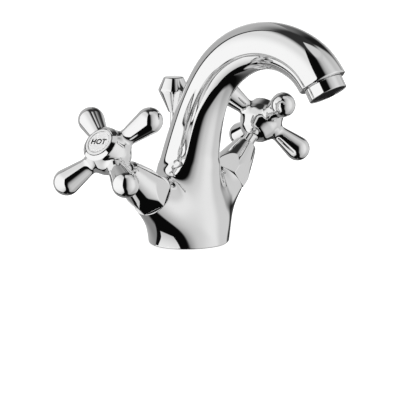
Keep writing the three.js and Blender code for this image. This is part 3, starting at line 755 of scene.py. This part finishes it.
# ---------------------------------------------------------------- strainer in the spout mouth: a honeycomb plate
def strainer():
    curve = bpy.data.curves.new("spout_strainer", "CURVE")
    curve.dimensions = "2D"
    curve.fill_mode = "BOTH"
    curve.extrude = 0.8 * MM
    curve.bevel_depth = 0.0

    def loop(points):
        sp = curve.splines.new("POLY")
        sp.points.add(len(points) - 1)
        for q, (x, y) in zip(sp.points, points):
            q.co = (x * MM, y * MM, 0, 1)
        sp.use_cyclic_u = True

    loop([(10.5 * math.cos(a), 10.5 * math.sin(a)) for a in np.arange(96) * 2 * math.pi / 96])
    pitch, hole = 1.95, 0.92
    for i in range(-6, 7):
        for j in range(-6, 7):
            x, y = pitch * (i + j / 2), pitch * j * math.sqrt(3) / 2
            if math.hypot(x, y) < 9.2:
                loop([(x + hole * math.cos(a), y + hole * math.sin(a)) for a in math.pi / 6 + np.arange(6) * math.pi / 3])
    tmp = bpy.data.objects.new("strainer_curve", curve)
    bpy.context.scene.collection.objects.link(tmp)
    bpy.context.view_layer.update()
    me = bpy.data.meshes.new_from_object(tmp.evaluated_get(bpy.context.evaluated_depsgraph_get()))
    bpy.data.objects.remove(tmp)
    bpy.data.curves.remove(curve)
    bm = bmesh.new()
    bm.from_mesh(me)
    bmesh.ops.remove_doubles(bm, verts=bm.verts, dist=1e-6)
    for v in bm.verts:
        v.co = Vector(put([(v.co.x / MM, v.co.y / MM, 6.0 + v.co.z / MM)], MOUTH)[0] * MM)
    bmesh.ops.recalc_face_normals(bm, faces=bm.faces)
    if bm.calc_volume(signed=True) < 0:
        bmesh.ops.reverse_faces(bm, faces=bm.faces)
    bm.to_mesh(me)
    bm.free()
    me.name = "spout_strainer"
    ob = bpy.data.objects.new("spout_strainer", me)
    bpy.context.scene.collection.objects.link(ob)
    return ob


# ---------------------------------------------------------------- materials
def material(name, color, metallic, rough, rough_spread, noise_scale, bump=0.0, bump_scale=400.0, bump_distance=0.00005, tint=0.03,
             coat=0.0, ior=1.5, detail=4.0):
    """Principled surface whose roughness, tone and micro relief vary with procedural noise in object space."""
    m = bpy.data.materials.new(name)
    m.use_nodes = True
    nt = m.node_tree
    b = nt.nodes["Principled BSDF"]
    b.inputs["Metallic"].default_value = metallic
    b.inputs["IOR"].default_value = ior
    b.inputs["Coat Weight"].default_value = coat
    tc = nt.nodes.new("ShaderNodeTexCoord")
    n1 = nt.nodes.new("ShaderNodeTexNoise")
    n1.inputs["Scale"].default_value = noise_scale
    n1.inputs["Detail"].default_value = detail
    nt.links.new(tc.outputs["Object"], n1.inputs["Vector"])
    mr = nt.nodes.new("ShaderNodeMapRange")
    mr.inputs["From Min"].default_value, mr.inputs["From Max"].default_value = 0.3, 0.7
    mr.inputs["To Min"].default_value, mr.inputs["To Max"].default_value = rough - rough_spread, rough + rough_spread
    nt.links.new(n1.outputs["Fac"], mr.inputs["Value"])
    nt.links.new(mr.outputs["Result"], b.inputs["Roughness"])
    cr = nt.nodes.new("ShaderNodeValToRGB")
    cr.color_ramp.elements[0].position, cr.color_ramp.elements[1].position = 0.3, 0.7
    cr.color_ramp.elements[0].color = tuple(c * (1 - tint) for c in color) + (1,)
    cr.color_ramp.elements[1].color = tuple(min(1.0, c * (1 + tint)) for c in color) + (1,)
    n2 = nt.nodes.new("ShaderNodeTexNoise")
    n2.inputs["Scale"].default_value = noise_scale * 0.35
    n2.inputs["Detail"].default_value = 2.0
    nt.links.new(tc.outputs["Object"], n2.inputs["Vector"])
    nt.links.new(n2.outputs["Fac"], cr.inputs["Fac"])
    nt.links.new(cr.outputs["Color"], b.inputs["Base Color"])
    if bump:
        n3 = nt.nodes.new("ShaderNodeTexNoise")
        n3.inputs["Scale"].default_value = bump_scale
        n3.inputs["Detail"].default_value = 3.0
        nt.links.new(tc.outputs["Object"], n3.inputs["Vector"])
        bp = nt.nodes.new("ShaderNodeBump")
        bp.inputs["Strength"].default_value = bump
        bp.inputs["Distance"].default_value = bump_distance
        nt.links.new(n3.outputs["Fac"], bp.inputs["Height"])
        nt.links.new(bp.outputs["Normal"], b.inputs["Normal"])
    return m


CHROME_TONE = (0.90, 0.90, 0.90)
MAT = {
    "chrome_casting": material("chrome_on_casting", CHROME_TONE, 1.0, 0.028, 0.008, 60, bump=0.012, bump_scale=90, bump_distance=0.0002, tint=0.01),
    "chrome_trim": material("chrome_on_turned_trim", CHROME_TONE, 1.0, 0.022, 0.006, 90, bump=0.006, bump_scale=160, bump_distance=0.0001, tint=0.01),
    "brass": material("machined_brass", (0.72, 0.52, 0.22), 1.0, 0.3, 0.08, 500, bump=0.12, bump_scale=1500, tint=0.1),
    "steel": material("plain_steel", (0.56, 0.57, 0.58), 1.0, 0.28, 0.07, 600, bump=0.1, bump_scale=1800, tint=0.08),
    "rubber_seal": material("black_rubber", (0.018, 0.018, 0.02), 0.0, 0.62, 0.1, 700, bump=0.25, bump_scale=2500, tint=0.2),
    "ceramic": material("fine_ceramic", (0.86, 0.84, 0.78), 0.0, 0.18, 0.04, 300, bump=0.02, bump_scale=2500, tint=0.03),
    "white_plastic": material("white_moulded_plastic", (0.78, 0.78, 0.76), 0.0, 0.42, 0.06, 400, bump=0.08, bump_scale=1800, tint=0.03),
    "grey_plastic": material("dark_strainer_plastic", (0.010, 0.010, 0.011), 0.0, 0.58, 0.06, 500, bump=0.1, bump_scale=2000, tint=0.08, ior=1.3),
    "index_enamel": material("pale_index_inlay", (0.80, 0.80, 0.80), 0.0, 0.16, 0.03, 250, bump=0.01, bump_scale=900, tint=0.015, coat=0.6),
}
INK = material("index_print", (0.003, 0.003, 0.003), 0.0, 0.5, 0.06, 900, bump=0.05, bump_scale=3000, tint=0.15)


def finish_piece(ob, slot, body, *replaced, mat=None):
    ob.data.materials.clear()
    ob.data.materials.append(mat or MAT[slot])
    if replaced:
        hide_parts(*replaced)
    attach(ob, body)
    return ob


# ---------------------------------------------------------------- pieces
finish_piece(casting(), "chrome_casting", "mixer", "mixer_body")

SHAPE = handle_mesh()
for side in ("hot", "cold"):
    place = axis_frame(side)
    moving = side + "_handle"
    finish_piece(handle(side, SHAPE), "chrome_casting", moving, side + "_handle")
    finish_piece(bonnet(side), "chrome_trim", "mixer", side + "_bonnet")
    # painted shade: this black rubber seal fills the gap between the boss face and the bonnet's hexagon foot, so its
    # dark ring is partly the seal's own black and partly stands in for the shade of that gap
    finish_piece(turned_object(
        side + "_headwork_seal_and_gap_shade", [(8.65, 48.45), (12.15, 48.45), (12.15, 49.0), (9.8, 49.0), (9.8, 49.95), (8.65, 49.95)],
        [0.1, 0.12, 0.12, 0.1, 0.2, 0.2], 96, place, closed=True, step=0.08), "rubber_seal", "mixer", side + "_headwork_gasket")
    finish_piece(turned_object(
        side + "_index_cap",
        [(0, 107.0), (6.5, 107.0), (6.5, 110.1), (9.05, 110.1), (9.05, 113.05), (7.45, 113.05), (7.45, 112.1), (0, 112.1)],
        [0, 0.2, 0.1, 0.2, 0.35, 0.12, 0.0, 0], 128, place, step=0.06), "chrome_trim", moving, side + "_index_button")
    finish_piece(turned_object(
        side + "_index_inlay", [(0, 112.25), (7.2, 112.25), (7.2, 112.92), (6.2, 113.0), (0, 113.0)], [0, 0, 0.25, 4, 0], 96, place, step=0.06),
        "index_enamel", moving, side + "_index_disc")


def lettering(side, word):
    """Plain generic lettering lying on the index inlay."""
    place = axis_frame(side)
    normal = place[0][:, 2]
    right = np.array([0.6232, -0.7821, 0.0])        # across, for someone standing in front on the spout side
    up = np.array([0.0, 0.0, 1.0])
    if side == "cold":
        right = np.array([0.6232, 0.7821, 0.0])
    x = np.cross(up, normal)
    x /= np.linalg.norm(x)
    y = np.cross(normal, x)
    # the line of writing lies level to that person
    best = min(np.linspace(-1.2, 1.2, 481), key=lambda a: abs((math.cos(a) * x + math.sin(a) * y) @ up - 0.10 * abs((math.cos(a) * x + math.sin(a) * y) @ right)))
    bx = math.cos(best) * x + math.sin(best) * y
    by = np.cross(normal, bx)
    cu = bpy.data.curves.new("t", "FONT")
    cu.body = word
    cu.size = 4.9 * MM
    cu.align_x, cu.align_y = "CENTER", "CENTER"
    cu.extrude = 0.02 * MM
    cu.offset = 0.19 * MM
    cu.space_character = 1.06
    tmp = bpy.data.objects.new("t", cu)
    bpy.context.scene.collection.objects.link(tmp)
    bpy.context.view_layer.update()
    me = bpy.data.meshes.new_from_object(tmp.evaluated_get(bpy.context.evaluated_depsgraph_get()))
    bpy.data.objects.remove(tmp)
    bpy.data.curves.remove(cu)
    origin = place[1] + normal * 113.0
    for v in me.vertices:
        c = np.array(v.co[:]) / MM
        v.co = Vector((origin + bx * c[0] + by * c[1] + normal * c[2]) * MM)
    me.name = side + "_index_letters"
    ob = bpy.data.objects.new(side + "_index_letters", me)
    bpy.context.scene.collection.objects.link(ob)
    finish_piece(ob, "index_enamel", side + "_handle", mat=INK)


lettering("hot", "HOT")
lettering("cold", "COLD")

finish_piece(turned_object(
    "spout_nozzle_ring",
    [(10.9, -8.8), (10.9, 0.35), (12.05, 0.35), (12.05, 7.7), (10.9, 7.7), (10.8, 4.95), (10.0, 4.95), (10.0, -8.8)],
    [0.15, 0.1, 0.3, 0.4, 0.25, 0.1, 0.1, 0.15], 144, MOUTH, closed=True, step=0.08), "chrome_trim", "mixer", "aerator_housing")
finish_piece(strainer(), "grey_plastic", "mixer", "aerator_screen")
finish_piece(turned_object(
    "pop_up_knob",
    [(0, 82.8), (3.4, 82.8), (9.3, 95.5), (9.9, 97.0), (9.5, 98.3), (6.5, 104.9), (5.8, 105.4), (0, 105.4)],
    [0, 0.35, 6, 1.0, 5, 0.5, 0.6, 0], 144, straight_frame(0, ROD_Y), step=0.08), "chrome_trim", "pop_up", "pull_knob")
finish_piece(turned_object(
    "pop_up_rod", [(0, 3.0), (2.5, 3.0), (2.5, 84.0), (0, 84.0)], [0, 0.4, 0, 0], 64, straight_frame(0, ROD_Y), step=0.08),
    "chrome_trim", "pop_up", "pull_rod")
finish_piece(turned_object(
    "deck_seal", [(21.5, 0), (23.5, 0), (23.5, 2.2), (21.5, 2.2)], [0.5, 0.5, 0.3, 0.3], 144, straight_frame(), closed=True, step=0.1),
    "rubber_seal", "mixer", "base_gasket")

for name, slot in (("aerator_insert", "grey_plastic"), ("aerator_washer", "rubber_seal"), ("rod_bush", "white_plastic"), ("rod_collar", "brass")):
    NODES[name].data.materials.clear()
    NODES[name].data.materials.append(MAT[slot])
for side in ("hot_", "cold_"):
    for name, slot in (("headwork_body", "brass"), ("seat_seal", "rubber_seal"), ("fixed_disc", "ceramic"),
                       ("moving_disc", "ceramic"), ("handle_screw", "steel"), ("spindle", "brass"), ("spindle_oring", "rubber_seal"), ("circlip", "steel")):
        NODES[side + name].data.materials.clear()
        NODES[side + name].data.materials.append(MAT[slot])


# ---------------------------------------------------------------- camera
scene = bpy.context.scene
cam = bpy.data.cameras.new("camera")
cam.sensor_width = 36.0
cam.lens = 163.63
cam.dof.use_dof = False
cam.clip_start, cam.clip_end = 0.05, 50.0
cam_ob = bpy.data.objects.new("camera", cam)
scene.collection.objects.link(cam_ob)
cam_ob.location = (-0.89460, -0.71351, 0.26033)
look_az, look_el = math.radians(38.2154), math.radians(-11.5416)
look = Vector((math.cos(look_el) * math.cos(look_az), math.cos(look_el) * math.sin(look_az), math.sin(look_el)))
cam_ob.rotation_mode = "QUATERNION"
cam_ob.rotation_quaternion = look.to_track_quat("-Z", "Y")
scene.camera = cam_ob
scene.view_settings.view_transform = "Standard"
scene.view_settings.look = "None"

# ---------------------------------------------------------------- floor
bm = bmesh.new()
bmesh.ops.create_circle(bm, cap_ends=True, radius=6.0, segments=96)
me = bpy.data.meshes.new("studio_floor")
bm.to_mesh(me)
bm.free()
floor = bpy.data.objects.new("studio_floor", me)
scene.collection.objects.link(floor)
floor.location.z = -0.0003
fm = bpy.data.materials.new("studio_floor")
fm.use_nodes = True
fb = fm.node_tree.nodes["Principled BSDF"]
fb.inputs["Base Color"].default_value = (0.45, 0.45, 0.45, 1)
fb.inputs["Emission Color"].default_value = (1, 1, 1, 1)
fb.inputs["Emission Strength"].default_value = 0.86
fb.inputs["Roughness"].default_value = 0.9
fb.inputs["Specular IOR Level"].default_value = 0.0
me.materials.append(fm)
floor.visible_glossy = False

# ---------------------------------------------------------------- light
FRONT = -141.46      # the studio's front, degrees from +X: left of it is the big soft box, right of it the pale wall


class Value:
    """A number in a node tree, so that a plain formula builds its own Math nodes."""

    def __init__(self, tree, source):
        self.tree, self.source = tree, source

    def math(self, kind, other=None, swap=False):
        n = self.tree.nodes.new("ShaderNodeMath")
        n.operation = kind
        pair = [self] if other is None else ([other, self] if swap else [self, other])
        for i, v in enumerate(pair):
            if isinstance(v, Value):
                self.tree.links.new(v.source, n.inputs[i])
            else:
                n.inputs[i].default_value = float(v)
        return Value(self.tree, n.outputs[0])

    def __add__(self, o):
        return self.math("ADD", o)

    __radd__ = __add__

    def __sub__(self, o):
        return self.math("SUBTRACT", o)

    def __rsub__(self, o):
        return self.math("SUBTRACT", o, True)

    def __mul__(self, o):
        return self.math("MULTIPLY", o)

    __rmul__ = __mul__


def rise(x, a, b):
    n = x.tree.nodes.new("ShaderNodeMapRange")
    n.interpolation_type = "SMOOTHSTEP"
    n.inputs["From Min"].default_value, n.inputs["From Max"].default_value = a, b
    x.tree.links.new(x.source, n.inputs["Value"])
    return Value(x.tree, n.outputs["Result"])


def studio_level(az, el, S):
    """Radiance of the room by direction, in degrees from the studio's front. S(x, a, b) rises smoothly from 0 at a to 1 at b."""
    dark = 0.003
    # pale wall on the right, brightest at mid height, falling off below
    low = S((az - 82) * (az - 82), 25, 5600) * 42 - 73
    wall = S(az, 8, 20) * S(el - low, -3, 7)
    tone = (0.32 + S(az, 12, 40) * 0.36 + S(az, 35, 70) * 0.18 - S(az, 78, 104) * 0.20) * (1 - S(el, 14, 60) * 0.22) * (1 - S(el * -1, 8, 70) * 0.42)
    level = wall * (tone - dark) + dark
    # grey wall behind on the left
    level = level + S(az * -1, 120, 124) * S(el, -74, -62) * ((0.47 - S(el, 38, 72) * 0.40 - S(el * -1, 8, 45) * 0.22 + S(az * -1, 150, 178) * S(el, -30, -8) * (1 - S(el, 8, 30)) * 0.22) - level)
    # dark screen behind on the right, with pale paper beyond it near the horizon
    screen = S(az + S(el, 15, 55) * 9 - S(el * -1, 0, 10) * 12, 129, 141)
    level = level + screen * (0.012 + S(az, 150, 178) * 0.15 - level)
    paper = S(az, 120, 150) * S(el, -8, 2) * (1 - S(el, 10, 34))
    level = level + paper * (0.56 - level)
    # ceiling: dark at the back and left, a pale panel over the front right
    ceiling = S(el, 58, 70)
    level = level + ceiling * (0.03 - level)
    panel = S(az + S(el, 55, 80) * 25, 8, 24) * (1 - S(az, 96, 118)) * S(el, 56, 66)
    level = level + panel * (0.66 - level)
    return level


def softbox_level(x, z, S):
    """Face of the big soft box: x across, z up, in metres from its middle. Its rim is dark."""
    left = x - S(z * -1, 0.25, 0.9) * 0.22
    right = x - S(z * -1, 0.05, 0.6) * 0.13
    inside = S(left, -0.437, -0.427) * (1 - S(right, 0.482, 0.492)) * S(z, -1.27, -1.20)
    face = (1.02 - S(z, 0.12, 0.55) * 0.24 - S(z * -1, 0.10, 1.25) * 0.44) * (1 - S(z, 0.75, 1.65) * 0.92)
    return inside * (face - 0.004) + 0.004


def studio_world():
    w = bpy.data.worlds.new("studio")
    scene.world = w
    w.use_nodes = True
    nt = w.node_tree
    nt.nodes.clear()
    out = nt.nodes.new("ShaderNodeOutputWorld")
    tc = nt.nodes.new("ShaderNodeTexCoord")
    rot = nt.nodes.new("ShaderNodeVectorRotate")
    rot.rotation_type = "Z_AXIS"
    rot.inputs["Angle"].default_value = -math.radians(FRONT)
    nt.links.new(tc.outputs["Generated"], rot.inputs["Vector"])
    sep = nt.nodes.new("ShaderNodeSeparateXYZ")
    nt.links.new(rot.outputs["Vector"], sep.inputs["Vector"])
    x, y, z = (Value(nt, sep.outputs[k]) for k in "XYZ")
    az = y.math("ARCTAN2", x) * (180 / math.pi)
    el = z.math("MINIMUM", 1.0).math("MAXIMUM", -1.0).math("ARCSINE") * (180 / math.pi)
    level = studio_level(az, el, rise)
    bg = nt.nodes.new("ShaderNodeBackground")
    nt.links.new(level.source, bg.inputs["Color"])
    white = nt.nodes.new("ShaderNodeBackground")
    white.inputs["Color"].default_value = (1, 1, 1, 1)
    lp = nt.nodes.new("ShaderNodeLightPath")
    mix = nt.nodes.new("ShaderNodeMixShader")
    nt.links.new(lp.outputs["Is Camera Ray"], mix.inputs["Fac"])
    nt.links.new(bg.outputs[0], mix.inputs[1])
    nt.links.new(white.outputs[0], mix.inputs[2])
    nt.links.new(mix.outputs[0], out.inputs["Surface"])


def softbox(az=-68.5, dist=0.44, height=0.10, left=-0.51, right=0.64, low=-1.3, high=1.7):
    a = math.radians(az + FRONT)
    across = Vector((-math.sin(a), math.cos(a), 0))
    me = bpy.data.meshes.new("big_softbox")
    me.from_pydata([(left, 0, low), (right, 0, low), (right, 0, high), (left, 0, high)], [], [(0, 1, 2, 3)])
    ob = bpy.data.objects.new("big_softbox", me)
    scene.collection.objects.link(ob)
    ob.location = (math.cos(a) * dist, math.sin(a) * dist, height)
    ob.rotation_euler = (0, 0, math.atan2(across.y, across.x))
    m = bpy.data.materials.new("softbox_face")
    m.use_nodes = True
    nt = m.node_tree
    nt.nodes.clear()
    tc = nt.nodes.new("ShaderNodeTexCoord")
    sep = nt.nodes.new("ShaderNodeSeparateXYZ")
    nt.links.new(tc.outputs["Object"], sep.inputs["Vector"])
    level = softbox_level(Value(nt, sep.outputs["X"]), Value(nt, sep.outputs["Z"]), rise)
    em = nt.nodes.new("ShaderNodeEmission")
    nt.links.new(level.source, em.inputs["Color"])
    out = nt.nodes.new("ShaderNodeOutputMaterial")
    nt.links.new(em.outputs[0], out.inputs["Surface"])
    me.materials.append(m)
    ob.visible_camera = False
    ob.visible_diffuse = False
    ob.visible_shadow = False
    ob.visible_transmission = False


studio_world()
softbox()

top = bpy.data.lights.new("overhead_softbox", "AREA")
top.shape = "DISK"
top.size = 2.2
top.energy = 40
top_ob = bpy.data.objects.new("overhead_softbox", top)
scene.collection.objects.link(top_ob)
top_ob.location = (0.0, 0.0, 1.7)
top_ob.visible_glossy = False
top_ob.visible_camera = False

bpy.context.view_layer.update()
